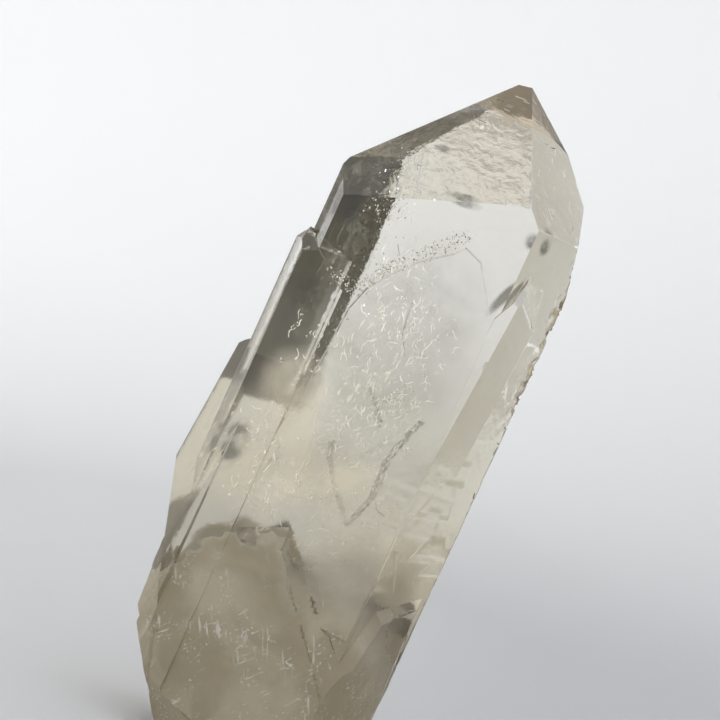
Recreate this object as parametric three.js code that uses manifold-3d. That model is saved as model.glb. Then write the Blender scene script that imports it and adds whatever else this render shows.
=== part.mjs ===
// A quartz point: one large, flattened hexagonal crystal with a steep six-sided tip, grown together with
// smaller crystals that share its direction, and broken off its rock along a rough, milky foot.
// Millimetres, +Z up along the crystal's long axis, the widest clear face towards -Y. The foot is cut flat.
import * as THREE from "three";
import { ConvexGeometry } from "three/addons/geometries/ConvexGeometry.js";
import { mergeVertices } from "three/addons/utils/BufferGeometryUtils.js";
import Module from "manifold-3d";

const wasm = await Module();
wasm.setup();

// Driving dimensions
const height = 148; // flat of the foot to where the tip faces cross the long axis
const frontReach = 18.4; // long axis to the wide front face
const backReach = 7; // long axis to the back face
const sideReach = 26; // long axis to the upright side edges
const leftEdgeDepth = -13.8; // where the left side edge stands, front to back
const rightEdgeDepth = 2.4; // where the right side edge stands
const prismTurn = 60; // a hexagonal prism's faces are this many degrees apart
const tipRise = 38.2; // a quartz tip face leans this far back from upright
const frontTipTurn = -15.6; // the big front tip face looks a little to the left
const frontTipRise = 35.3;
const leftTipRise = 28.7; // the tip's steep left face

// Relief on the faces
const ledgeHeights = [0.08, 0.22]; // thinnest and thickest growth ledge
const ledgeRimShare = 7; // width of a ledge's sloping rim, of its height
const ledgeTaper = [0.25, 0.8]; // how much shorter a ledge is along its top than along its foot
const wholeFace = [-30, 30]; // further across than any face reaches
const ledgeLayout = { across: wholeFace, widths: [7, 22], talls: [4, 9] };
const pitSides = [0.9, 3.6]; // smallest and largest triangular pit
const finePitSides = [0.9, 2.4]; // on the smoother faces
const pitDepthShare = 0.09; // of a pit's side
const chipSizes = [0.5, 1.7]; // nicks along the sharp side edges

// A repeatable stream of numbers from 0 to 1, so that the crystal is the same each time.
function numberStream(seed) {
  let state = seed;
  return () => {
    state = (state + 0x6d2b79f5) | 0;
    let mixed = Math.imul(state ^ (state >>> 15), state | 1);
    mixed ^= mixed + Math.imul(mixed ^ (mixed >>> 7), mixed | 61);
    return ((mixed ^ (mixed >>> 14)) >>> 0) / 4294967296;
  };
}

const between = (random, [low, high]) => low + (high - low) * random();

const point = (x, y, z) => new THREE.Vector3(x, y, z);

// The way a face looks: turn is in degrees clockwise from the front, seen from above, and rise is how far it
// leans back from upright.
function facing(turn, rise) {
  const around = THREE.MathUtils.degToRad(turn);
  const up = THREE.MathUtils.degToRad(rise);
  return point(Math.sin(around) * Math.cos(up), -Math.cos(around) * Math.cos(up), Math.sin(up));
}

// A flat face through a point, with the crystal behind it.
const face = (turn, rise, through) =>
  new THREE.Plane().setFromNormalAndCoplanarPoint(facing(turn, rise), through);

const floorFace = (z) => face(0, -90, point(0, 0, z));

// The corner that three faces share, or null where they don't meet in one.
function corner(a, b, c) {
  const acrossBC = b.normal.clone().cross(c.normal);
  const size = a.normal.dot(acrossBC);
  if (Math.abs(size) < 1e-6) return null;
  return acrossBC
    .multiplyScalar(-a.constant)
    .addScaledVector(c.normal.clone().cross(a.normal), -b.constant)
    .addScaledVector(a.normal.clone().cross(b.normal), -c.constant)
    .divideScalar(size);
}

// A closed geometry as a solid that can be joined and cut.
function solid(geometry) {
  const bare = geometry.clone();
  for (const name of ["normal", "uv"]) bare.deleteAttribute(name);
  const merged = mergeVertices(bare, 1e-4);
  return new wasm.Manifold(
    new wasm.Mesh({
      numProp: 3,
      vertProperties: merged.getAttribute("position").array,
      triVerts: new Uint32Array(merged.index.array),
    }),
  );
}

const hull = (points) => solid(new ConvexGeometry(points));

// The convex crystal that lies behind all of its faces.
function crystal(faces) {
  const slack = 1e-5;
  const corners = [];
  faces.forEach((a, i) =>
    faces.slice(i + 1).forEach((b, j) =>
      faces.slice(i + j + 2).forEach((c) => {
        const at = corner(a, b, c);
        if (!at || faces.some((f) => f.distanceToPoint(at) > slack)) return;
        if (corners.every((known) => known.distanceTo(at) > 1e-3)) corners.push(at);
      }),
    ),
  );
  return hull(corners);
}

// The clear main crystal, whose six side faces all stand upright.
const tip = point(0, 0, height);
const tipRightEnd = point(2.4, 0, height - 0.3); // the tip is a short ridge
const leftEdge = point(-sideReach, leftEdgeDepth, 0);
const rightEdge = point(sideReach, rightEdgeDepth, 0);
const frontRightCorner = point(14, -frontReach, 0);
const side = {
  front: face(0, 0, frontRightCorner),
  frontRight: face(prismTurn, 0, rightEdge),
  backRight: face(2 * prismTurn, 0, rightEdge),
  back: face(3 * prismTurn, 0, point(0, backReach, 0)),
  backLeft: face(4 * prismTurn, 0, leftEdge),
  frontLeft: face(5 * prismTurn, 0, leftEdge),
};
const tipFace = {
  front: face(frontTipTurn, frontTipRise, tip),
  frontRight: face(prismTurn, tipRise, tipRightEnd),
  back: face(3 * prismTurn, tipRise, tip),
  backLeft: face(4 * prismTurn, leftTipRise, tip.clone().setX(-1)),
};
const rightShoulder = face(90, 13, point(21.9, 0, 129.4)); // the worn right shoulder

const mainFaces = [...Object.values(side), ...Object.values(tipFace), rightShoulder, floorFace(0)];

// The main crystal with one of its faces moved out, as a limit for what lies on that face.
const grownOn = (plane, by) =>
  crystal(mainFaces.map((f) => (f === plane ? new THREE.Plane(f.normal.clone(), f.constant - by) : f)));

// True where a spot on one face of the main crystal is at least margin away from all of its others.
const clearOfEdges = (plane, spot, margin) =>
  mainFaces.every((f) => f === plane || f.distanceToPoint(spot) < -margin);

// Where the side crystals run back into the foot at the lower left.
const leftUndercut = face(272, -18, point(-31, -12, 47.7));

// The second crystal, whose step shows on the left side below the main shoulder.
function leftStep() {
  const left = point(-28.4, -15.4, 0);
  const right = point(-10.3, -8.9, 0);
  const peak = point(-26.6, -15.6, 105.7);
  return crystal([
    face(0, 0, point(0, -frontReach - 0.9, 0)),
    face(prismTurn, 0, right),
    face(2 * prismTurn, 0, right),
    face(3 * prismTurn, 0, point(0, backReach - 0.3, 0)),
    face(4 * prismTurn, 0, left),
    face(5 * prismTurn, 0, left),
    face(75, 52, peak),
    face(-18, 36, peak),
    face(240, 30, peak),
    face(300, 28, peak),
    leftUndercut,
    floorFace(6),
  ]);
}

// The tooth on the lower left, a crystal that leans out a little and fills the main one's corner at the back.
function leftTooth() {
  const peak = point(-28.9, -10, 80);
  return crystal([
    face(8, 2, point(-26, -20.2, 60)),
    face(68, 0, point(-21.4, -14, 60)),
    face(3 * prismTurn, 0, point(0, backReach, 0)),
    face(190, 0, point(-14, backReach, 60)), // from the main crystal's own edge
    face(248, 3, point(-31.2, -7, 56)),
    face(308, 6, point(-31, -11, 60)),
    face(60, 62, peak),
    face(300, 27, peak),
    face(200, 48, peak),
    face(0, 47, point(-28.9, -14, 80)),
    leftUndercut,
    floorFace(6),
  ]);
}

// A small point on the front right edge. Its outer face slopes back into the main crystal's lower down.
function rightPoint() {
  const peak = point(16.4, -15.6, 113.2);
  return crystal([
    face(0, 0, point(0, -frontReach - 0.5, 0)),
    face(prismTurn, -3.5, point(19.9, -12, 100)),
    face(2 * prismTurn, -2, point(19.9, -6, 100)),
    face(3 * prismTurn, 0, point(0, 0, 0)),
    face(-82, 3, point(12.6, -16, 98)),
    face(-70, 24, peak),
    face(10, 33, peak),
    face(72, 20, peak),
    floorFace(62),
  ]);
}

// Two broad crystals that widen the back, low down, so that the foot is deeper than the clear part.
function backPair() {
  const shared = (x, z) => [
    [3 * prismTurn, 40],
    [4 * prismTurn, 37],
    [2 * prismTurn, 38],
  ].map(([turn, rise]) => face(turn, rise, point(x, 6.5, z)));
  const left = crystal([
    face(3 * prismTurn, 0, point(0, backReach + 2.6, 0)),
    face(4 * prismTurn, 0, point(-18.8, 1, 0)),
    face(2 * prismTurn, 0, point(6.5, 4, 0)),
    face(0, 0, point(0, -6, 0)),
    ...shared(-7, 49),
    floorFace(0),
  ]);
  const right = crystal([
    face(3 * prismTurn, 0, point(0, backReach + 4.1, 0)),
    face(4 * prismTurn, 0, point(-3.4, 4, 0)),
    face(2 * prismTurn, 0, point(21.6, 7.2, 0)),
    face(0, 0, point(0, 2, 0)),
    ...shared(11, 38),
    floorFace(0),
  ]);
  return left.add(right);
}

// The milky foot: broken faces that stand a little proud of the clear crystal and cut its corners.
function foot() {
  const ridge = point(-6, -frontReach - 0.9, 49);
  return crystal([
    face(-4, -1.5, point(-8, -frontReach - 1.2, 30)),
    face(-34, 3, point(-20, -17.4, 30)),
    face(-6.5, 14, ridge),
    face(19, 16, ridge),
    face(-68, 2, point(-26.9, -9, 26)),
    face(-100, -6, point(-27, -2, 24)),
    face(-120, 30, point(-23, 2, 38)),
    face(-78, -34, point(-27, -6, 19.5)),
    face(-150, 4, point(-12, 10.5, 24)),
    face(176, 3, point(6, 12.6, 20)),
    face(176, 40, point(6, 12, 34)),
    face(128, 3, point(21, 9, 20)),
    face(84, 2, point(25.6, 0, 20)),
    face(62, 1, point(20.6, -11, 20)),
    face(50, 38, point(20, -10, 41)),
    floorFace(0),
  ]);
}

// The planes along which the foot broke off its rock: they cut the clear crystal too.
const breaks = [
  face(-82, -33, point(-27, -8, 19.6)),
  face(-128, -40, point(-22, 4, 15)),
  face(-14, -32, point(-4, -frontReach - 1.4, 6.5)),
  face(74, -26, point(25.8, 0, 11)),
  face(162, -34, point(8, 10.6, 7)),
];

// A growth sheet on the wide front face, whose upper outline is the hooked line that crosses it.
function frontSheet() {
  const thickness = 0.55;
  const outline = new THREE.Shape([
    [-13.4, 94.6], [-11.8, 99.6], [-9.2, 103.2], [-7.4, 105.4], [-4.6, 108.4], [-1.6, 110.8], [0.8, 112.6], [2.6, 114.6],
    [6.4, 113.2], [9.8, 108.2], [12.2, 104.6], [13.7, 99], [13.7, 34], [-21, 34], [-20, 58], [-16.4, 66], [-14.2, 73.6],
    [-14.5, 80], [-13.8, 87],
  ].map(([x, z]) => new THREE.Vector2(x, z)));
  const bevel = 0.3;
  const sheet = new THREE.ExtrudeGeometry(outline, {
    depth: frontReach - 10,
    bevelEnabled: true,
    bevelThickness: bevel,
    bevelSize: bevel,
    bevelOffset: -bevel,
    bevelSegments: 1,
  });
  sheet.rotateX(Math.PI / 2); // the outline's height now runs up, and its thickness towards the front
  sheet.translate(0, -10 - thickness + bevel, 0);
  return solid(sheet);
}

// Right, up and out on a face, for placing relief on it.
function onFace(plane) {
  const out = plane.normal.clone();
  const right = point(0, 0, 1).cross(out).normalize();
  const up = out.clone().cross(right).normalize();
  return { out, right, up };
}

// The point of a plane that is seen at (x, z) from the front, or from the right where it faces sideways.
function spotOn(plane, across, z) {
  const { right } = onFace(plane);
  const start = point(0, 0, z);
  const flat = plane.normal.clone().setZ(0);
  start.addScaledVector(flat, -plane.distanceToPoint(start) / flat.lengthSq());
  return start.addScaledVector(right, across);
}

// A low ledge with gently sloping rims, lying on a face and narrower along its top.
function ledge(plane, across, z, { width, tall, thickness, skew, taper }) {
  const { out, right, up } = onFace(plane);
  const centre = spotOn(plane, across, z);
  const at = (u, v, w) =>
    centre.clone().addScaledVector(right, u + v * skew).addScaledVector(up, v).addScaledVector(out, w);
  const rim = thickness * ledgeRimShare;
  const sunk = -0.6;
  const corners = [];
  for (const [u, v] of [[-1, -1], [1, -1], [1, 1], [-1, 1]]) {
    const half = (width / 2) * (v > 0 ? 1 - taper : 1);
    corners.push(at(u * half, (v * tall) / 2, sunk));
    corners.push(at(u * half, (v * tall) / 2, 0));
    corners.push(at(u * Math.max(half - rim, half * 0.2), v * (tall / 2 - rim), thickness));
  }
  return hull(corners);
}

// Draws spots on a face until count of them are clear of each other and of the main crystal's edges.
function spotsOn(plane, { seed, count, across, z, margins }) {
  const random = numberStream(seed);
  const spots = [];
  for (let tries = 0; spots.length < count && tries < count * 40; tries += 1) {
    const size = random();
    const spot = { across: between(random, across), z: between(random, z), size, random };
    spot.margin = margins[0] + (margins[1] - margins[0]) * size;
    spot.centre = spotOn(plane, spot.across, spot.z);
    const crowded = spots.some((other) => other.centre.distanceTo(spot.centre) < other.margin + spot.margin);
    if (!crowded && clearOfEdges(plane, spot.centre, spot.margin)) spots.push(spot);
  }
  return spots;
}

// Growth ledges scattered over one side face, wider than they are tall, and cut off at the face's own edges.
function ledgesOn(plane, { widths, talls, ...layout }) {
  const limit = grownOn(plane, 1);
  return spotsOn(plane, { margins: [0, 0], ...layout }).map(({ across, z, size, random }) =>
    ledge(plane, across, z, {
      width: widths[0] + (widths[1] - widths[0]) * size,
      tall: between(random, talls),
      thickness: between(random, ledgeHeights),
      skew: between(random, [-0.6, 0.6]),
      taper: between(random, ledgeTaper),
    }).intersect(limit),
  );
}

// A triangular etch pit that points down the face, with a smaller and deeper one inside the larger ones.
function pit(plane, across, z, size, turn) {
  const { out, right, up } = onFace(plane);
  const centre = spotOn(plane, across, z);
  const triangle = (reach, depth) =>
    [-90, 30, 150].map((degrees) => {
      const around = THREE.MathUtils.degToRad(degrees + turn);
      return centre
        .clone()
        .addScaledVector(right, Math.cos(around) * reach)
        .addScaledVector(up, Math.sin(around) * reach)
        .addScaledVector(out, -depth);
    });
  const reach = size / Math.sqrt(3);
  const depth = size * pitDepthShare;
  const above = 0.05;
  const outer = hull([...triangle(reach, -above), ...triangle(reach * 0.8, depth * 0.5)]);
  if (size < 3) return outer;
  return outer.add(hull([...triangle(reach * 0.5, -above), ...triangle(reach * 0.36, depth)]));
}

function pitsOn(plane, { sides, ...layout }) {
  const margins = sides.map((length) => length * 0.62);
  return spotsOn(plane, { margins, ...layout }).map(({ across, z, size, random }) =>
    pit(plane, across, z, sides[0] + (sides[1] - sides[0]) * size, between(random, [-6, 6])),
  );
}

// A sharp nick in an edge: a lopsided wedge of random corners.
function nick(centre, size, random) {
  const corners = Array.from({ length: 7 }, () =>
    centre.clone().add(
      point(between(random, [-1, 1]), between(random, [-1, 1]), between(random, [-0.8, 0.8])).multiplyScalar(size),
    ),
  );
  return hull(corners);
}

function nicksAlong(from, to, count, seed, sizes = chipSizes) {
  const random = numberStream(seed);
  return Array.from({ length: count }, (_, i) => {
    const along = (i + between(random, [0.1, 0.9])) / count;
    return nick(from.clone().lerp(to, along), between(random, sizes), random);
  });
}

// A shell-shaped scoop, as where quartz breaks.
function scoop(centre, radii, turn) {
  const shell = new THREE.IcosahedronGeometry(1, 3);
  shell.scale(radii.x, radii.y, radii.z);
  shell.rotateZ(THREE.MathUtils.degToRad(turn));
  shell.translate(centre.x, centre.y, centre.z);
  return solid(shell);
}

function footScoops() {
  return [
    scoop(point(-22, -24, 15), point(12, 5.5, 10), -24),
    scoop(point(3, -26.5, 8), point(15, 7.5, 9), 6),
    scoop(point(21, -20.5, 20), point(8, 6.5, 15), 42),
    scoop(point(-30.5, 1, 12), point(7, 12, 9), 12),
    scoop(point(-13, 15.5, 12), point(13, 6, 11), 14),
    scoop(point(15, 18.5, 16), point(12, 8.5, 13), -10),
    scoop(point(30.5, 5, 9), point(7, 10, 9), -12),
    scoop(point(29.5, -1, 119), point(5.2, 6, 5.5), 0),
  ];
}

// Everything joined, then everything cut.
function quartz() {
  const joined = [
    leftStep(),
    leftTooth(),
    rightPoint(),
    backPair(),
    foot(),
    frontSheet(),
    ...ledgesOn(side.frontRight, { ...ledgeLayout, seed: 11, count: 12, z: [46, 122] }),
    ...ledgesOn(side.backRight, { ...ledgeLayout, seed: 61, count: 8, z: [50, 112] }),
    ...ledgesOn(side.back, { ...ledgeLayout, seed: 23, count: 5, z: [52, 84] }),
  ];
  const cut = [
    ...pitsOn(tipFace.front, { seed: 5, count: 26, across: wholeFace, z: [114, 146], sides: finePitSides }),
    ...pitsOn(tipFace.frontRight, { seed: 19, count: 18, across: wholeFace, z: [116, 146], sides: pitSides }),
    ...pitsOn(tipFace.back, { seed: 53, count: 16, across: wholeFace, z: [120, 146], sides: pitSides }),
    ...pitsOn(tipFace.backLeft, { seed: 29, count: 20, across: wholeFace, z: [108, 146], sides: pitSides }),
    ...pitsOn(side.front, { seed: 43, count: 6, across: [-15, 8], z: [99, 118], sides: finePitSides }),
    ...nicksAlong(rightEdge.clone().setZ(62), rightEdge.clone().setZ(112), 17, 71),
    ...nicksAlong(point(22.4, 6, 128), point(25.2, 3, 110), 9, 83, [0.8, 2.1]),
    ...nicksAlong(point(-26.2, -13.6, 118), point(-26.2, -13.6, 107), 3, 97, [0.3, 0.6]),
    ...footScoops(),
  ];
  const whole = joined.reduce((made, piece) => made.add(piece), crystal(mainFaces));
  const broken = breaks.reduce((made, { normal, constant }) => {
    const inwards = normal.clone().negate();
    return made.trimByPlane([inwards.x, inwards.y, inwards.z], constant);
  }, whole);
  const shaped = cut.reduce((made, piece) => made.subtract(piece), broken);
  // The outer skin alone, without crumbs or pockets sealed between the crystals.
  return shaped.decompose().reduce((most, body) => (body.volume() > most.volume() ? body : most));
}

// The solid as a mesh, standing on its foot with the middle of its outline over the origin.
function standing(made, material) {
  const { numProp, numVert, vertProperties, triVerts } = made.getMesh();
  const positions = new Float32Array(numVert * 3);
  for (let i = 0; i < numVert; i++) positions.set(vertProperties.subarray(i * numProp, i * numProp + 3), i * 3);
  const geometry = new THREE.BufferGeometry()
    .setAttribute("position", new THREE.BufferAttribute(positions, 3))
    .setIndex(new THREE.BufferAttribute(triVerts, 1));
  geometry.computeVertexNormals();
  geometry.computeBoundingBox();
  const { min, max } = geometry.boundingBox;
  const mesh = new THREE.Mesh(geometry, material);
  mesh.position.set(-(min.x + max.x) / 2, -(min.y + max.y) / 2, -min.z);
  return mesh;
}

const clearQuartz = new THREE.MeshStandardMaterial({
  color: 0xd8d4c6,
  roughness: 0.08,
  metalness: 0,
  transparent: true,
  opacity: 0.6,
  flatShading: true,
});

const quartzPoint = standing(quartz(), clearQuartz);
quartzPoint.name = "quartz_crystal";

const part = new THREE.Group();
part.add(quartzPoint);

export default part;
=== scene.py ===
# A clear, faintly smoky quartz point that stands on its flat-cut foot. Metres, in the part's own frame.
import math
import random

import bmesh
import bpy
from mathutils import Matrix, Vector, noise


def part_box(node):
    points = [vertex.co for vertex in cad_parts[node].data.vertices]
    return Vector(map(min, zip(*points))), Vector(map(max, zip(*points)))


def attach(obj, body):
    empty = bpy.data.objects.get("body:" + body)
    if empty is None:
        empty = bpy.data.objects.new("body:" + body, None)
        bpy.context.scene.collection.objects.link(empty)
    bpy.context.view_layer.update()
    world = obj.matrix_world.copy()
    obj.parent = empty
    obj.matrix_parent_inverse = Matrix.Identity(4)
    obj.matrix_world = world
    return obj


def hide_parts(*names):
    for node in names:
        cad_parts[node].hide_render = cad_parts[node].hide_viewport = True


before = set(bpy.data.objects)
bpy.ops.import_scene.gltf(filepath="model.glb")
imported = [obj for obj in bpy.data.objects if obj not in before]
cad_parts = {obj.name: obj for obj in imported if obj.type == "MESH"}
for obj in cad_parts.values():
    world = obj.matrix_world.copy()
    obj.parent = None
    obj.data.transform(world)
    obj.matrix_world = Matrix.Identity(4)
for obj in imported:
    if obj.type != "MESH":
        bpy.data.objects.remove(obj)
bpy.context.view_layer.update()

mm = 0.001
node = "quartz_crystal"
nodeLow, nodeHigh = (Vector(corner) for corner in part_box(node))
longAxis = Vector((3.27 * mm, 3.54 * mm, 0))  # where the crystal's long axis stands on the foot


def inCrystal(x, y, z):
    # A point given in mm from the long axis and the foot.
    return longAxis + Vector((x, y, z)) * mm


# Shader helpers
def newMaterial(name):
    material = bpy.data.materials.new(name)
    material.use_nodes = True
    tree = material.node_tree
    return material, tree, tree.nodes["Principled BSDF"]


def addNode(tree, kind, inputs=None, **settings):
    made = tree.nodes.new(kind)
    for key, value in settings.items():
        setattr(made, key, value)
    for key, value in (inputs or {}).items():
        if isinstance(value, bpy.types.NodeSocket):
            tree.links.new(value, made.inputs[key])
        else:
            made.inputs[key].default_value = value
    return made


def smooth(tree, value, low, high, toLow=0.0, toHigh=1.0):
    # Goes from toLow to toHigh as value goes from low to high, either way round.
    inputs = {0: value, 1: low, 2: high, 3: toLow, 4: toHigh}
    return addNode(tree, "ShaderNodeMapRange", inputs, interpolation_type="SMOOTHSTEP").outputs[0]


def maths(tree, operation, a, b=0.0):
    return addNode(tree, "ShaderNodeMath", {0: a, 1: b}, operation=operation).outputs[0]


def mixColours(tree, share, a, b):
    made = addNode(tree, "ShaderNodeMix", {0: share}, data_type="RGBA")
    for name, value in (("A", a), ("B", b)):
        if isinstance(value, bpy.types.NodeSocket):
            tree.links.new(value, made.inputs[name])
        else:
            made.inputs[name].default_value = (*value, 1)
    return made.outputs["Result"]


def noiseOn(tree, scale, detail=3.0, distortion=0.0, turn=0.0, length=1.0):
    # Its spots are drawn out to the given length along an upright line turned by so many degrees about Y.
    coordinates = addNode(tree, "ShaderNodeTexCoord").outputs["Object"]
    inputs = {"Vector": coordinates, "Rotation": (0, math.radians(turn), 0), "Scale": (1, 1, length)}
    mapped = addNode(tree, "ShaderNodeMapping", inputs, vector_type="TEXTURE")
    inputs = {"Vector": mapped.outputs[0], "Scale": scale, "Detail": detail, "Distortion": distortion}
    return addNode(tree, "ShaderNodeTexNoise", inputs).outputs["Fac"]


def addPiece(name, mesh, material, smoothFaces=False):
    data = bpy.data.meshes.new(name)
    for face in mesh.faces:
        face.smooth = smoothFaces
    mesh.to_mesh(data)
    mesh.free()
    data.materials.append(material)
    piece = bpy.data.objects.new(name, data)
    bpy.context.collection.objects.link(piece)
    print(name, len(data.polygons), "faces")
    return piece


def ripple(mesh, height, length):
    for vertex in mesh.verts:
        vertex.co += noise.noise_vector(vertex.co / length) * height


def addQuartzPiece(*details, **settings):
    piece = addPiece(*details, **settings)
    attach(piece, "root")
    return piece


# Camera, first of all
view = {
    "distance": 450 * mm,  # eye to the plane of the long axis
    "pixelsPerMm": 5.0,
    "elevation": 6.0,
    "roll": 24.5,  # the long axis leans this far to the right in the picture
    "tipPixel": (524, 86),
    "tipHeight": 148,
    "imageSize": 720,
    "sensor": 36.0,
}


def makeCamera():
    up, turn = math.radians(view["elevation"]), math.radians(view["roll"])
    forward = Vector((0, math.cos(up), -math.sin(up)))
    level, raised = Vector((1, 0, 0)), Vector((0, math.sin(up), math.cos(up)))
    right = math.cos(turn) * level + math.sin(turn) * raised
    over = -math.sin(turn) * level + math.cos(turn) * raised
    half = view["imageSize"] / 2
    across, down = ((pixel - half) / view["pixelsPerMm"] * mm for pixel in view["tipPixel"])
    eye = inCrystal(0, 0, view["tipHeight"]) - forward * view["distance"] - right * across + over * down
    camera = bpy.data.objects.new("camera", bpy.data.cameras.new("camera"))
    bpy.context.collection.objects.link(camera)
    focalPixels = view["pixelsPerMm"] * view["distance"] / mm
    camera.data.sensor_width = view["sensor"]
    camera.data.lens = focalPixels / view["imageSize"] * view["sensor"]
    camera.data.clip_start, camera.data.clip_end = 0.01, 20
    camera.matrix_world = Matrix.Translation(eye) @ Matrix((right, over, -forward)).transposed().to_4x4()
    bpy.context.scene.camera = camera


# The crystal's visible surface
surface = {
    "gridStep": 0.85 * mm,  # spacing of the fine surface's cuts
    "flatAngle": 0.4,  # degrees: faces that meet at less are joined before the cuts
    "edgeWear": 0.09 * mm,
    "wornEdge": 3.0 * mm,  # only edges longer than this are worn
    "wornAngle": 20.0,  # and only where the faces meet at more degrees than this
    "crispLeft": (-8.0, 86.0),  # mm, x below the first and z below the second: edges that stay crisp
    "sharpAngle": 10.0,
    "wave": (0.030, 9.0),  # height and length in mm, here and below
    "striation": (0.007, 2.4),
    "striationWidth": 9.0,
    "tipRipple": (0.060, 2.2),
    "tipRippleWidth": 7.0,
    "tipRippleBend": (1.2, 5.0),  # in ripples, and its length in mm
    "tipFacing": (0.4, -0.5),  # least z and greatest y of the normal on the tip's front faces
    "raggedEdge": (0.16, 1.9),
    "raggedReach": 2.4,  # mm from the back left edge
    "scallops": (0.42, 2.3),  # along the right edge
    "scallopInset": 0.4,  # as a share of their height
    "footBumps": (0.30, 5.5),
    "footDetail": (0.9, 2.1, 4),  # fractal increment, lacunarity and octaves
}
fades = {
    # mm from the long axis or up from the foot, from where there is no relief to where there is all of it
    "anyRelief": (0.2, 1.5),  # so that the flat of the foot stays flat
    "tipRippleSide": (-16, -6),
    "tipRippleLow": (124, 129),
    "tipRippleHigh": (144, 138),
    "raggedLow": (72, 86),
    "raggedHigh": (132, 120),
    "scallopSide": (22.4, 25.6),
    "scallopLow": (76, 92),
    "scallopHigh": (130, 122),
    "footBumps": (46, 24),
}
backLeftEdge = (-14.0, 7.0)  # mm from the long axis


def fadeBetween(value, low, high):
    share = max(0.0, min(1.0, (value - low) / (high - low)))
    return share * share * (3 - 2 * share)


def fade(name, value):
    return fadeBetween(value, *fades[name])


def reliefAt(x, y, z, normal):
    # How far the real surface stands out from the flat face at a point, all in mm.
    at = Vector((x, y, z))
    height, length = surface["wave"]
    relief = noise.noise(at / length) * height
    height, length = surface["striation"]
    width = surface["striationWidth"]
    relief += noise.noise(Vector((x / width, y / width, z / length))) * height
    leastZ, mostY = surface["tipFacing"]
    if normal.z > leastZ and normal.y < mostY:
        height, length = surface["tipRipple"]
        bendSize, bendLength = surface["tipRippleBend"]
        middle = fade("tipRippleSide", x) * fade("tipRippleLow", z) * fade("tipRippleHigh", z)
        bend = bendSize * noise.noise(at / bendLength)
        spot = Vector((x / surface["tipRippleWidth"], 0, z / length + bend))
        relief += noise.noise(spot) * height * middle
    edgeX, edgeY = backLeftEdge
    near = 1 - fadeBetween(math.hypot(x - edgeX, y - edgeY), 0, surface["raggedReach"])
    height, length = surface["raggedEdge"]
    relief += noise.noise(at / length) * height * near * fade("raggedHigh", z) * fade("raggedLow", z)
    height, length = surface["scallops"]
    near = fade("scallopSide", x) * fade("scallopLow", z) * fade("scallopHigh", z)
    relief += (noise.noise(at / length) - surface["scallopInset"]) * height * near
    height, length = surface["footBumps"]
    relief += noise.fractal(at / length, *surface["footDetail"]) * height * fade("footBumps", z)
    return relief


def cutGrid(mesh, step):
    # Parallel cuts along each axis give the flat faces an even grid of points.
    for axis in range(3):
        low, high = nodeLow[axis], nodeHigh[axis]
        count = int((high - low) / step)
        normal = Vector([float(i == axis) for i in range(3)])
        for i in range(1, count):
            spot = normal * (low + (high - low) * i / count)
            geometry = mesh.verts[:] + mesh.edges[:] + mesh.faces[:]
            bmesh.ops.bisect_plane(mesh, geom=geometry, dist=1e-6, plane_co=spot, plane_no=normal)


def staysCrisp(edge):
    x, _, z = ((edge.verts[0].co + edge.verts[1].co) / 2 - longAxis) / mm
    highestX, highestZ = surface["crispLeft"]
    return x < highestX and z < highestZ


def wearEdges(mesh):
    worn = [
        edge for edge in mesh.edges
        if edge.is_manifold
        and edge.calc_length() > surface["wornEdge"]
        and edge.calc_face_angle() > math.radians(surface["wornAngle"])
        and max(vertex.co.z for vertex in edge.verts) > mm  # not round the flat of the foot
        and not staysCrisp(edge)
    ]
    bmesh.ops.bevel(
        mesh, geom=worn, offset=surface["edgeWear"], segments=2, profile=0.5, material=-1,
        affect="EDGES", clamp_overlap=True,
    )


def makeCrystal():
    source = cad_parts[node]
    mesh = bmesh.new()
    mesh.from_mesh(source.data)
    mesh.transform(source.matrix_world)
    bmesh.ops.remove_doubles(mesh, verts=mesh.verts, dist=1e-6)
    flat = math.radians(surface["flatAngle"])
    bmesh.ops.dissolve_limit(mesh, angle_limit=flat, verts=mesh.verts, edges=mesh.edges)
    wearEdges(mesh)
    cutGrid(mesh, surface["gridStep"])
    bmesh.ops.triangulate(mesh, faces=mesh.faces)
    bmesh.ops.recalc_face_normals(mesh, faces=mesh.faces)
    mesh.normal_update()
    for edge in mesh.edges:
        edge.smooth = not edge.is_manifold or edge.calc_face_angle() < math.radians(surface["sharpAngle"])
    moves = []
    for vertex in mesh.verts:
        x, y, z = (vertex.co - longAxis) / mm
        lift = fade("anyRelief", z)
        moves.append(vertex.co + vertex.normal * reliefAt(x, y, z, vertex.normal) * mm * lift)
    for vertex, moved in zip(mesh.verts, moves):
        vertex.co = moved
    piece = addQuartzPiece("quartzCrystal", mesh, quartzMaterial(), smoothFaces=True)
    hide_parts(node)


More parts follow.
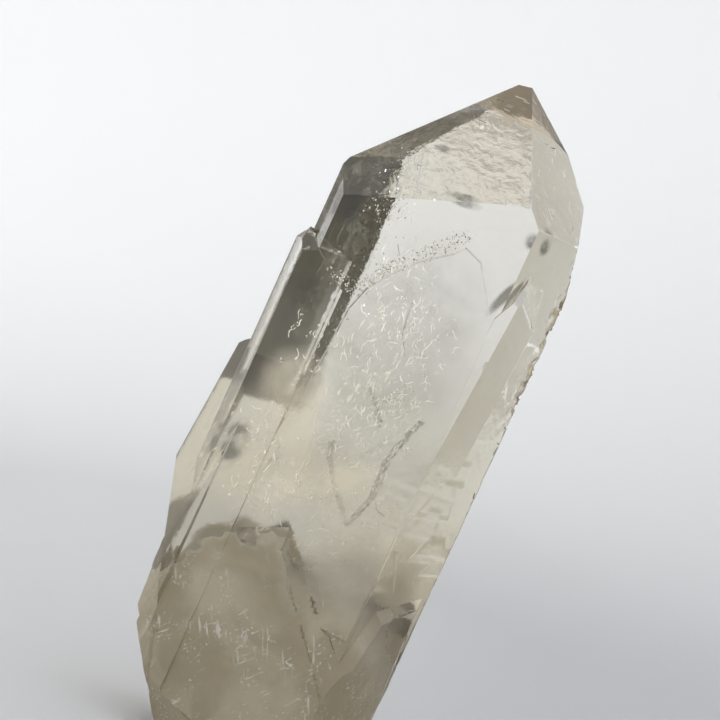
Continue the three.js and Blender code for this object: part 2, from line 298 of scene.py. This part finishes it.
glass = {
    "ior": 1.545,
    "absorption": (0.745, 0.715, 0.62),
    "density": 20.0,
    "clear": (0.99, 0.985, 0.965),
    "etchedTip": (0.93, 0.90, 0.83),
    # painted shade: the tip's end darker and browner, as its inner reflections and long path through the
    # quartz make it look
    "tipEndShade": (0.80, 0.655, 0.455),
    "hazy": (0.90, 0.87, 0.77),
    "brownish": (0.91, 0.87, 0.76),
    "smoky": (0.50, 0.43, 0.29),
    "smokyLight": (0.70, 0.63, 0.465),
    "rim": (0.60, 0.50, 0.33),
    "scratch": (0.92, 0.90, 0.84),
    "borderTop": 49.0,  # mm up the crystal, at the highest point of the smoky foot's arched border
    "borderMiddle": -4.0,  # mm from the long axis
    "borderCurve": 0.03,
    "borderWander": 3.0,  # mm up and down
    "borderRise": (0, 18, 0, 19),  # mm across from and to, and mm of rise from and to
    "borderSoftness": (-9, 17, 2.5, 30),  # mm across from and to, and mm of fade from and to
    "hazyHeights": (112, 66),  # mm up, from where a look starts to where it is full, here and below
    "brownishHeights": (64, 40),
    "tipHeights": (100, 110),
    "endHeights": (140.5, 141.1),
    "rimHeights": (80, 96),
    "rimAcross": (28.0, 29.6),  # mm to the right of the border's middle
    "rimWander": 1.2,
    "tipLean": (0.2, 0.4),  # the normal's z, from below the tip faces to on them
    "darkFoot": (40, 8, 0, 0.35),  # mm up from and to, and the share of plain smoky colour from and to
    "smokyRoughness": 0.34,
    "hazyRoughness": (0.015, 0.18),  # clear and hazy
    "tipRoughness": 0.06,
    "smokyThrough": 0.38,  # how much light passes there, here and below
    "markThrough": 0.25,
    "shadedEndThrough": 0.74,
    "rimThrough": 0.6,
    "hazyLoss": 0.08,
    "markStrength": (0.75, 0.8),  # in the smoky foot, and in the colour
    "fineBump": (0.05, 0.3),  # distance in mm and strength, here and below
    "pockBump": (0.5, 0.7),
    "markBump": (0.08, 0.6),
    "pocksBelowTip": 0.25,
}


def footMarks(tree):
    # Short faint scratches that lean two ways and tiny specks in patches, 1 on a mark and 0 beside it.
    leftward = smooth(tree, noiseOn(tree, 1500, 1.5, turn=-26, length=9), 0.62, 0.72)
    rightward = smooth(tree, noiseOn(tree, 1700, 1.5, turn=40, length=7), 0.63, 0.72)
    specks = smooth(tree, noiseOn(tree, 1500, 1.5), 0.62, 0.70)
    patches = smooth(tree, noiseOn(tree, 150, 3), 0.44, 0.60)
    marks = maths(tree, "MAXIMUM", maths(tree, "MAXIMUM", leftward, rightward), specks)
    return maths(tree, "MULTIPLY", marks, patches)


def addBump(tree, height, distance, strength, before=None):
    inputs = {"Height": height, "Distance": distance * mm, "Strength": strength}
    if before:
        inputs["Normal"] = before
    return addNode(tree, "ShaderNodeBump", inputs).outputs["Normal"]


def quartzMaterial():
    material, tree, shader = newMaterial("quartz")
    coordinates = addNode(tree, "ShaderNodeTexCoord").outputs["Object"]
    place = addNode(tree, "ShaderNodeSeparateXYZ", {0: coordinates})
    across = maths(tree, "MULTIPLY_ADD", place.outputs["X"], 1 / mm)
    across.node.inputs[2].default_value = -longAxis.x / mm - glass["borderMiddle"]
    height = maths(tree, "MULTIPLY", place.outputs["Z"], 1 / mm)

    # How far below the arched border a point is, in mm, with a wandering line
    arch = maths(tree, "MULTIPLY", maths(tree, "MULTIPLY", across, across), -glass["borderCurve"])
    border = maths(tree, "ADD", arch, glass["borderTop"])
    wander = smooth(tree, noiseOn(tree, 130, 6), 0.25, 0.75, -glass["borderWander"], glass["borderWander"])
    below = maths(tree, "ADD", maths(tree, "SUBTRACT", border, height), wander)
    below = maths(tree, "ADD", below, smooth(tree, across, *glass["borderRise"]))  # higher on the right
    softness = smooth(tree, across, *glass["borderSoftness"])
    smoky = smooth(tree, maths(tree, "DIVIDE", below, softness), 0, 1)
    unevenHeight = maths(tree, "ADD", height, wander)
    hazy = smooth(tree, unevenHeight, *glass["hazyHeights"])
    brownish = smooth(tree, unevenHeight, *glass["brownishHeights"])

    # The faces of the tip, its darker brown end (painted shade), the brownish right edge and the foot's marks
    normal = addNode(tree, "ShaderNodeNewGeometry").outputs["True Normal"]
    lean = addNode(tree, "ShaderNodeSeparateXYZ", {0: normal}).outputs["Z"]
    leaning = smooth(tree, lean, *glass["tipLean"])
    onTip = maths(tree, "MULTIPLY", leaning, smooth(tree, height, *glass["tipHeights"]))
    # Painted shade on the tip's end, which also lets less light through there
    atShadedEnd = maths(tree, "MULTIPLY", smooth(tree, height, *glass["endHeights"]), onTip)
    rimWander = smooth(tree, noiseOn(tree, 420), 0.3, 0.7, -glass["rimWander"], glass["rimWander"])
    rim = smooth(tree, maths(tree, "ADD", across, rimWander), *glass["rimAcross"])
    rim = maths(tree, "MULTIPLY", rim, smooth(tree, height, *glass["rimHeights"]))
    inSmoky, inColour = glass["markStrength"]
    marks = maths(tree, "MULTIPLY", footMarks(tree), smooth(tree, smoky, 0, 1, 0, inSmoky))

    mottle = smooth(tree, noiseOn(tree, 60, 5, distortion=0.6), 0.40, 0.64)
    smokes = mixColours(tree, mottle, glass["smoky"], glass["smokyLight"])
    smokes = mixColours(tree, smooth(tree, height, *glass["darkFoot"]), smokes, glass["smoky"])
    body = mixColours(tree, hazy, glass["clear"], glass["hazy"])
    body = mixColours(tree, brownish, body, glass["brownish"])
    body = mixColours(tree, onTip, body, glass["etchedTip"])
    body = mixColours(tree, atShadedEnd, body, glass["tipEndShade"])
    body = mixColours(tree, rim, body, glass["rim"])
    colour = mixColours(tree, smoky, body, smokes)
    colour = mixColours(tree, maths(tree, "MULTIPLY", marks, inColour), colour, glass["scratch"])
    tree.links.new(colour, shader.inputs["Base Color"])

    roughness = smooth(tree, smoky, 0, 1, 0.0, glass["smokyRoughness"])
    roughness = maths(tree, "ADD", roughness, smooth(tree, hazy, 0, 1, *glass["hazyRoughness"]))
    roughness = maths(tree, "ADD", roughness, smooth(tree, onTip, 0, 1, 0.0, glass["tipRoughness"]))
    tree.links.new(roughness, shader.inputs["Roughness"])
    through = smooth(tree, smoky, 0, 1, 1.0, glass["smokyThrough"])
    through = maths(tree, "SUBTRACT", through, smooth(tree, hazy, 0, 1, 0, glass["hazyLoss"]))
    for part, least in ((marks, "markThrough"), (atShadedEnd, "shadedEndThrough"), (rim, "rimThrough")):
        through = maths(tree, "MULTIPLY", through, smooth(tree, part, 0, 1, 1.0, glass[least]))
    tree.links.new(through, shader.inputs["Transmission Weight"])
    shader.inputs["IOR"].default_value = glass["ior"]

    bumps = addBump(tree, noiseOn(tree, 700, 4), *glass["fineBump"])
    pocked = smooth(tree, onTip, 0, 1, glass["pocksBelowTip"], 1)
    pocks = maths(tree, "MULTIPLY", noiseOn(tree, 330, 5, distortion=0.5), pocked)
    bumps = addBump(tree, pocks, *glass["pockBump"], bumps)
    tree.links.new(addBump(tree, marks, *glass["markBump"], bumps), shader.inputs["Normal"])
    volume = addNode(tree, "ShaderNodeVolumeAbsorption", {"Density": glass["density"]})
    volume.inputs["Color"].default_value = (*glass["absorption"], 1)
    tree.links.new(volume.outputs["Volume"], tree.nodes["Material Output"].inputs["Volume"])
    return material


def grainMaterial(name, dark, light, roughness, scale=900):
    # Grains from dark to light, with about so many tones in a metre as the scale says.
    material, tree, shader = newMaterial(name)
    share = smooth(tree, noiseOn(tree, scale), 0.42, 0.58)
    tree.links.new(mixColours(tree, share, dark, light), shader.inputs["Base Color"])
    shader.inputs["Roughness"].default_value = roughness
    return material


# The speckled growth line: tiny bubbles along a line that climbs to the right, and more in the dark band
speckles = {
    "lines": {
        # points as x, y, z in mm from the long axis and the foot, the spread about the line, and the count
        "main": ([(-13.4, -14, 98.1), (-9.6, -14, 104.4), (-3.6, -14, 111.0), (2.0, -14, 116.6)], 0.8, 560),
        "left": ([(-20, -15, 99.7), (-16.3, -14.5, 98.8), (-13.4, -14, 98.1)], 0.6, 70),
        "bandEdge": ([(-15.5, 1, 74), (-14.5, 2, 92), (-14.2, 3, 112), (-13.8, 3.5, 124)], 1.3, 330),
        "upper": ([(-16, -15, 112), (-12, -15, 119)], 2.2, 110),
    },
    "sizes": (0.05, 0.17),  # radius in mm
    "seed": 7,
}


def alongLine(points, share):
    place = share * (len(points) - 1)
    i = min(int(place), len(points) - 2)
    return Vector(points[i]).lerp(Vector(points[i + 1]), place - i)


def makeSpeckles():
    draw = random.Random(speckles["seed"])
    mesh = bmesh.new()
    for points, spread, count in speckles["lines"].values():
        for _ in range(count):
            at = alongLine(points, draw.random())
            at += Vector([draw.gauss(0, spread) for _ in range(3)])
            size = draw.uniform(*speckles["sizes"]) * mm
            place = Matrix.Translation(inCrystal(*at)) @ Matrix.Diagonal((1, 1, draw.uniform(0.7, 1.8), 1))
            bmesh.ops.create_icosphere(mesh, subdivisions=1, radius=size, matrix=place)
    material = grainMaterial("speckle", (0.22, 0.20, 0.16), (0.95, 0.94, 0.90), 0.25)
    return addQuartzPiece("speckles", mesh, material, smoothFaces=True)


# Short, bright, wavy flecks inside, near the front
flecks = {
    "patches": {
        # lowest and highest corner in mm from the long axis and the foot, count, and lean in degrees
        "middle": ((-8, -17.6, 66), (9, -14.5, 102), 380, 10),
        "upper": ((-12, -17.6, 92), (0, -15, 108), 60, -20),
        "lowerLeft": ((-22, -17, 50), (-8, -14, 90), 130, -15),
        "waist": ((-18, -17, 44), (14, -13, 64), 130, 20),
        "leftEdge": ((-27, -14, 50), (-24, -9, 70), 16, 10),
    },
    "lengths": (0.4, 2.5),  # mm, here and in the next line
    "width": 0.16,
    "widthShares": (0.6, 1.4),
    "curls": (0.08, 0.32),  # mm aside
    "leanSpread": 28,  # degrees
    "steps": 5,
    "seed": 19,
}


def makeFlecks():
    draw = random.Random(flecks["seed"])
    shortest, longest = flecks["lengths"]
    mesh = bmesh.new()
    for low, high, count, lean in flecks["patches"].values():
        for _ in range(count):
            at = [draw.uniform(a, b) for a, b in zip(low, high)]
            length = shortest + (longest - shortest) * draw.random() ** 2  # most of them are short
            width = flecks["width"] * draw.uniform(*flecks["widthShares"])
            strip = bmesh.ops.create_grid(mesh, x_segments=1, y_segments=flecks["steps"], size=0.5)["verts"]
            curl, phase = draw.uniform(*flecks["curls"]), draw.uniform(0, 6)
            for vertex in strip:
                along = vertex.co.y
                vertex.co = Vector((
                    vertex.co.x * width * (1.1 - abs(along)) + curl * math.sin(along * 6 + phase),
                    curl * 0.5 * math.cos(along * 5 + phase),
                    along * length,
                ))
            turn = Matrix.Rotation(math.radians(draw.gauss(lean, flecks["leanSpread"])), 4, "Y")
            place = Matrix.Translation(inCrystal(*at)) @ Matrix.Scale(mm, 4) @ turn
            bmesh.ops.transform(mesh, verts=strip, matrix=place)
    material = grainMaterial("fleck", (0.85, 0.83, 0.76), (1.0, 1.0, 0.97), 0.2)
    return addQuartzPiece("flecks", mesh, material, smoothFaces=True)


# Healed fractures: thin sheets that run back into the crystal from a line on its front
fractures = {
    # points as x, z in mm, how far back the sheet goes, and how far it leans aside on the way
    "right": (
        [(8.4, 79.9), (7.1, 77.1), (5.2, 70.3), (5.4, 66), (5.6, 62.3), (4, 57.1), (3.5, 54.7)], 4, 1.5,
    ),
    "left": ([(-6.2, 69), (-5.1, 65.5), (-2.1, 61.4), (1.2, 57.4), (3.5, 54.7)], 5, 1.1),
    "fine": ([(-14.6, 64), (-15.2, 60), (-16.4, 54)], 3, 0.3),
    "arc": ([(6.5, 62), (8, 60.2), (9.8, 59.8)], 2, 0.3),
    "middle": ([(-2.7, 100.5), (-2, 94.3), (0.5, 90)], 3, 0.3),
}
fractureFront = -15.5  # mm from the long axis
fractureRipple = (0.16 * mm, 1.3 * mm)  # height and length


def makeFractures():
    mesh = bmesh.new()
    for points, depth, aside in fractures.values():
        line = [mesh.verts.new(inCrystal(x, fractureFront, z)) for x, z in points]
        edges = [mesh.edges.new(pair) for pair in zip(line, line[1:])]
        grown = bmesh.ops.extrude_edge_only(mesh, edges=edges)["geom"]
        back = [item for item in grown if isinstance(item, bmesh.types.BMVert)]
        bmesh.ops.translate(mesh, verts=back, vec=Vector((aside, depth, 0)) * mm)
    bmesh.ops.subdivide_edges(mesh, edges=mesh.edges, cuts=5, use_grid_fill=True)
    ripple(mesh, *fractureRipple)
    addQuartzPiece("fractures", mesh, fractureMaterial(), smoothFaces=True)


def fractureMaterial():
    # Broken up by fine holes, so that a sheet isn't solid anywhere.
    material = grainMaterial("fracture", (0.42, 0.40, 0.34), (0.95, 0.94, 0.90), 0.35, scale=600)
    tree = material.node_tree
    holes = smooth(tree, noiseOn(tree, 1400, 4), 0.40, 0.60, 0.0, 0.8)
    tree.links.new(holes, tree.nodes["Principled BSDF"].inputs["Alpha"])
    return material


# Veils and smudges: thin wavy clouds of fine inclusions; the dark sheets in and along the dark band and
# behind a facet of the right point are painted shade
veils = {
    # middle in mm from the long axis and the foot, half width, half height, turn, lean and roll in degrees,
    # and look
    "footFront": ((-6, -11, 26), 15, 15, 6, 8, 0, "pale"),
    "footMiddle": ((0, -3, 28), 15, 17, -20, -6, 0, "pale"),
    "footBack": ((2, 4, 24), 13, 15, 12, 10, 0, "pale"),
    "waist": ((-4, -6, 62), 15, 11, 4, 18, 0, "milky"),
    "waistFront": ((1, -15, 58), 17, 14, 0, 4, 0, "milky"),
    "lowerLeft": ((-14, -15.5, 62), 10, 18, -4, 3, 0, "milky"),
    "bandEnd": ((-17, -16, 76), 9, 9, 0, 0, 0, "milky"),
    "tooth": ((-22, -7, 60), 8, 16, 12, -8, 0, "milky"),
    "leftSmudge": ((-23.2, -13, 60.5), 3.2, 7.0, 10, 24, 0, "dark"),
    "leftSpot": ((-13.7, -15.5, 61.9), 0.5, 1.0, 0, 0, 0, "dark"),
    "upperSmudge": ((-1.0, -14, 122.5), 4.2, 1.3, 0, 0, 0, "dark"),
    "rightSmudge": ((14, -9, 120.5), 1.9, 2.4, 30, 0, 0, "dark"),
    "crescent": ((-8.9, -9, 129.6), 2.4, 1.1, 0, 0, 0, "dark"),
    "clearPart": ((0, -13.8, 93), 17, 25, 0, 0, 0, "haze"),
    # painted shade: a dark sheet just behind a facet of the right point, darkening what the facet shows
    "pointFacetShade": ((13.6, -15, 108.8), 1.5, 5.6, 0, 0, -24, "facet"),
    # painted shade: dark olive sheets along the dark band's edge and tail
    "bandTailShade": ((-15.8, -15, 79), 4.2, 10.5, 0, 0, 0, "olive"),
    "bandBrownShade": ((-15.6, -13, 108), 3.0, 18, 0, 0, 0, "olive"),
    # painted shade: near-black sheets at the dark band's core
    "upperBandShade": ((-21.2, -12.5, 114), 3.4, 8, 0, 0, -4, "blueBlack"),
    "lowerBandShade": ((-21.6, -12.5, 91), 3.2, 9, 0, 0, 0, "blueBlack"),
}
veilRipple = (1.2 * mm, 11 * mm)  # height and length
veilLooks = {
    # colour, the noise's scale, the noise values between which the veil goes from nothing to its fullest,
    # and how much it hides there
    "pale": ((0.90, 0.87, 0.78), 150, 0.40, 0.68, 0.6),
    "milky": ((0.93, 0.90, 0.80), 75, 0.15, 0.78, 0.5),
    "haze": ((0.88, 0.85, 0.77), 90, 0.1, 0.8, 0.42),
    # painted shade behind a facet
    "facet": ((0.29, 0.26, 0.17), 160, 0.0, 0.45, 0.75),
    "dark": ((0.24, 0.24, 0.20), 260, 0.28, 0.62, 0.75),
    # painted shade for the dark band: its brown edge here, its near-black core below
    "olive": ((0.24, 0.20, 0.125), 300, 0.26, 0.58, 0.7),
    "blueBlack": ((0.045, 0.05, 0.058), 170, 0.32, 0.68, 0.6),
}


def makeVeils():
    made = {}
    for look, (colour, scale, low, high, fullest) in veilLooks.items():
        mesh = bmesh.new()
        mesh.loops.layers.uv.new("acrossVeil")
        for middle, wide, tall, turn, lean, roll, kind in veils.values():
            if kind != look:
                continue
            place = (
                Matrix.Translation(inCrystal(*middle))
                @ Matrix.Rotation(math.radians(turn), 4, "Z")
                @ Matrix.Rotation(math.radians(90 + lean), 4, "X")
                @ Matrix.Rotation(math.radians(roll), 4, "Z")
                @ Matrix.Diagonal((wide * mm, tall * mm, 1, 1))
            )
            bmesh.ops.create_grid(mesh, x_segments=28, y_segments=28, size=1, matrix=place, calc_uvs=True)
        ripple(mesh, *veilRipple)
        material = veilMaterial(look, colour, scale, low, high, fullest)
        made[look] = addQuartzPiece(look + "Veils", mesh, material, smoothFaces=True)
    return made


def veilMaterial(name, colour, scale, low, high, fullest):
    material, tree, shader = newMaterial(name + "Veil")
    shader.inputs["Base Color"].default_value = (*colour, 1)
    shader.inputs["Roughness"].default_value = 0.9
    cloud = smooth(tree, noiseOn(tree, scale, 6, distortion=0.3), low, high)
    own = addNode(tree, "ShaderNodeTexCoord").outputs["UV"]
    fromMiddle = addNode(tree, "ShaderNodeVectorMath", {0: own, 1: (0.5, 0.5, 0)}, operation="DISTANCE")
    edge = smooth(tree, fromMiddle.outputs["Value"], 0.5, 0.2)
    share = maths(tree, "MULTIPLY", maths(tree, "MULTIPLY", cloud, edge), fullest)
    tree.links.new(share, shader.inputs["Alpha"])
    return material


# Stage and light
stage = {
    "floorRadius": 0.75,
    "wallRadius": 1.6,
    "wallHeight": 1.5,
    "steps": 24,
    # painted light and shade: the backdrop's paint goes from the dim tone to the light one as light falls on
    # it
    "light": (0.92, 0.925, 0.93),
    "dim": (0.52, 0.525, 0.54),
    "paintedLightWay": (-0.41, 0.1, 0.9),  # painted light: the backdrop's paint gets paler this way, towards the upper left where the light comes from
    "dimToLight": (-0.33, 0.19),  # how much of that way, from the dim paint to the light one
    "paintedLightLeftFloor": (0.10, -0.08, 0, 0.36),  # painted light on the floor on the key light's side: metres across from and to, and least share of light paint
    "middleHeight": 80,  # mm
}


def makeStage():
    profile = bmesh.new()
    rise = stage["wallRadius"] - stage["floorRadius"]
    spots = [profile.verts.new((0, 0, 0)), profile.verts.new((stage["floorRadius"], 0, 0))]
    for i in range(1, stage["steps"] + 1):
        turn = math.pi / 2 * i / stage["steps"]
        out, up = rise * math.sin(turn), rise * (1 - math.cos(turn))
        spots.append(profile.verts.new((stage["floorRadius"] + out, 0, up)))
    spots.append(profile.verts.new((stage["wallRadius"], 0, rise + stage["wallHeight"])))
    for pair in zip(spots, spots[1:]):
        profile.edges.new(pair)
    bmesh.ops.spin(
        profile, geom=profile.verts[:] + profile.edges[:], cent=(0, 0, 0), axis=(0, 0, 1),
        angle=2 * math.pi, steps=96, use_merge=True,
    )
    bmesh.ops.remove_doubles(profile, verts=profile.verts, dist=1e-5)
    bmesh.ops.recalc_face_normals(profile, faces=profile.faces)
    addPiece("backdrop", profile, backdropMaterial(), smoothFaces=True)


def backdropMaterial():
    material, tree, shader = newMaterial("backdrop")
    # Painted light: paler towards the upper left and on the floor to the left, dimmer elsewhere
    coordinates = addNode(tree, "ShaderNodeTexCoord").outputs["Object"]
    middle = tuple(inCrystal(0, 0, stage["middleHeight"]))
    away = addNode(tree, "ShaderNodeVectorMath", {0: coordinates, 1: middle}, operation="SUBTRACT").outputs[0]
    way = addNode(tree, "ShaderNodeVectorMath", {0: away}, operation="NORMALIZE").outputs[0]
    facing = addNode(tree, "ShaderNodeVectorMath", {0: way, 1: stage["paintedLightWay"]}, operation="DOT_PRODUCT")
    across = addNode(tree, "ShaderNodeSeparateXYZ", {0: coordinates}).outputs["X"]
    paintedLightLeftFloor = smooth(tree, across, *stage["paintedLightLeftFloor"])
    share = maths(tree, "MAXIMUM", smooth(tree, facing.outputs["Value"], *stage["dimToLight"]), paintedLightLeftFloor)
    tree.links.new(mixColours(tree, share, stage["dim"], stage["light"]), shader.inputs["Base Color"])
    shader.inputs["Roughness"].default_value = 0.9
    shader.inputs["Specular IOR Level"].default_value = 0.1
    return material


# Studio cards around the crystal, out of the picture, that a clear crystal shows as its darker bands
cards = {
    # profile as distance out and height in metres, start and end in degrees from the crystal's right, the two
    # distances between which its paint goes from the first tone to the second, and the tones
    "darkCard": (
        [(0.07, 0.002), (0.50, 0.002), (0.58, 0.34)], -66, 42, (0.40, 0.66),
        (0.07, 0.072, 0.062), (0.18, 0.155, 0.105),
    ),
    "paleCardFloor": (
        [(0.12, 0.004), (0.46, 0.004)], 42.5, 73.5, (0.1, 0.5), (0.80, 0.775, 0.71), (0.90, 0.88, 0.82),
    ),
    # painted light: a pale card over the floor behind the crystal, where its shadow falls, so the facet that
    # shows that floor looks lighter
    "paleCardBehind": (
        [(0.03, 0.003), (0.11, 0.003)], 60, 150, (0, 0.2), (0.95, 0.90, 0.80), (0.95, 0.90, 0.80),
    ),
    "warmCardFloor": (
        [(0.24, 0.004), (0.46, 0.004)], 74, 85.5, (0.29, 0.40), (0.90, 0.88, 0.83), (0.42, 0.38, 0.31),
    ),
    "warmCardLeft": (
        [(0.62, 0.01), (0.62, 0.40)], 114, 150, (0.5, 0.74), (0.77, 0.735, 0.655), (0.97, 0.945, 0.88),
    ),
    "warmCardLeftFloor": (
        [(0.15, 0.004), (0.32, 0.004)], 112, 152, (0.10, 0.36), (0.49, 0.455, 0.39), (0.69, 0.655, 0.59),
    ),
}
cardClouds = 80  # scale of the clouds in their paint


def makeCards():
    for name, (profile, start, end, reach, near, far) in cards.items():
        mesh = bmesh.new()
        spots = [mesh.verts.new((out, 0, up)) for out, up in profile]
        for pair in zip(spots, spots[1:]):
            mesh.edges.new(pair)
        turned = Matrix.Rotation(math.radians(start), 3, "Z")
        bmesh.ops.rotate(mesh, verts=mesh.verts, cent=(0, 0, 0), matrix=turned)
        bmesh.ops.spin(
            mesh, geom=mesh.verts[:] + mesh.edges[:], cent=(0, 0, 0), axis=(0, 0, 1),
            angle=math.radians(end - start), steps=24,
        )
        piece = addPiece(name, mesh, cardMaterial(name, reach, near, far))
        piece.visible_camera = False
        piece.visible_shadow = False
        piece.visible_diffuse = False


def cardMaterial(name, reach, near, far):
    material, tree, shader = newMaterial(name)
    coordinates = addNode(tree, "ShaderNodeTexCoord").outputs["Object"]
    flat = addNode(tree, "ShaderNodeVectorMath", {0: coordinates, 1: (1, 1, 0)}, operation="MULTIPLY")
    out = addNode(tree, "ShaderNodeVectorMath", {0: flat.outputs[0]}, operation="LENGTH").outputs["Value"]
    clouds = smooth(tree, noiseOn(tree, cardClouds, 4), 0.3, 0.7, -0.5, 0.5)
    share = maths(tree, "ADD", smooth(tree, out, *reach), clouds)
    tree.links.new(mixColours(tree, share, near, far), shader.inputs["Base Color"])
    shader.inputs["Roughness"].default_value = 1.0
    shader.inputs["Specular IOR Level"].default_value = 0.0
    return material


lamps = {
    # place and aim in metres, size, and power in watts
    "keyLeft": ((-0.9, 0.6, 1.6), (-0.4, 0.95, 0.3), 0.9, 7),
    "inclusionLight": ((-0.10, -0.13, 0.16), (0, -0.012, 0.08), 0.06, 0.95),
}
inclusionLightColour = (0.74, 0.78, 1.0)


def makeArea(name):
    place, aim, size, power = lamps[name]
    light = bpy.data.lights.new(name, "AREA")
    light.shape = "DISK"
    light.size = size
    light.energy = power
    lamp = bpy.data.objects.new(name, light)
    bpy.context.collection.objects.link(lamp)
    lamp.location = place
    lamp.rotation_euler = (Vector(aim) - Vector(place)).to_track_quat("-Z", "Y").to_euler()
    lamp.visible_camera = False
    return lamp


def makeInclusionLight(pieces):
    # Lights the inclusions alone, because a lamp's direct light stops at the glass. It stands close and is
    # bluish, because its light is absorbed as if the quartz went on all the way to it.
    lit = bpy.data.collections.new("litInclusions")
    for piece in pieces:
        lit.objects.link(piece)
    lamp = makeArea("inclusionLight")
    lamp.data.color = inclusionLightColour
    lamp.light_linking.receiver_collection = lit
    lamp.light_linking.blocker_collection = lit


def makeLight():
    scene = bpy.context.scene
    scene.view_settings.view_transform = "Standard"
    world = bpy.data.worlds.new("studio")
    scene.world = world
    world.use_nodes = True
    world.node_tree.nodes["Background"].inputs["Color"].default_value = (1, 1, 1, 1)
    world.node_tree.nodes["Background"].inputs["Strength"].default_value = 1.0
    makeArea("keyLeft")
    scene.cycles.max_bounces = 24
    scene.cycles.transmission_bounces = 24
    scene.cycles.glossy_bounces = 10
    scene.cycles.transparent_max_bounces = 32
    scene.cycles.caustics_refractive = True
    scene.cycles.sample_clamp_indirect = 4


makeCamera()
print("camera in place")
makeCrystal()
grains = makeSpeckles()
sparkles = makeFlecks()
makeFractures()
clouds = makeVeils()
print("crystal and its inclusions in place")
makeStage()
makeCards()
makeLight()
makeInclusionLight([grains, sparkles, clouds["milky"]])
print("stage and light in place")
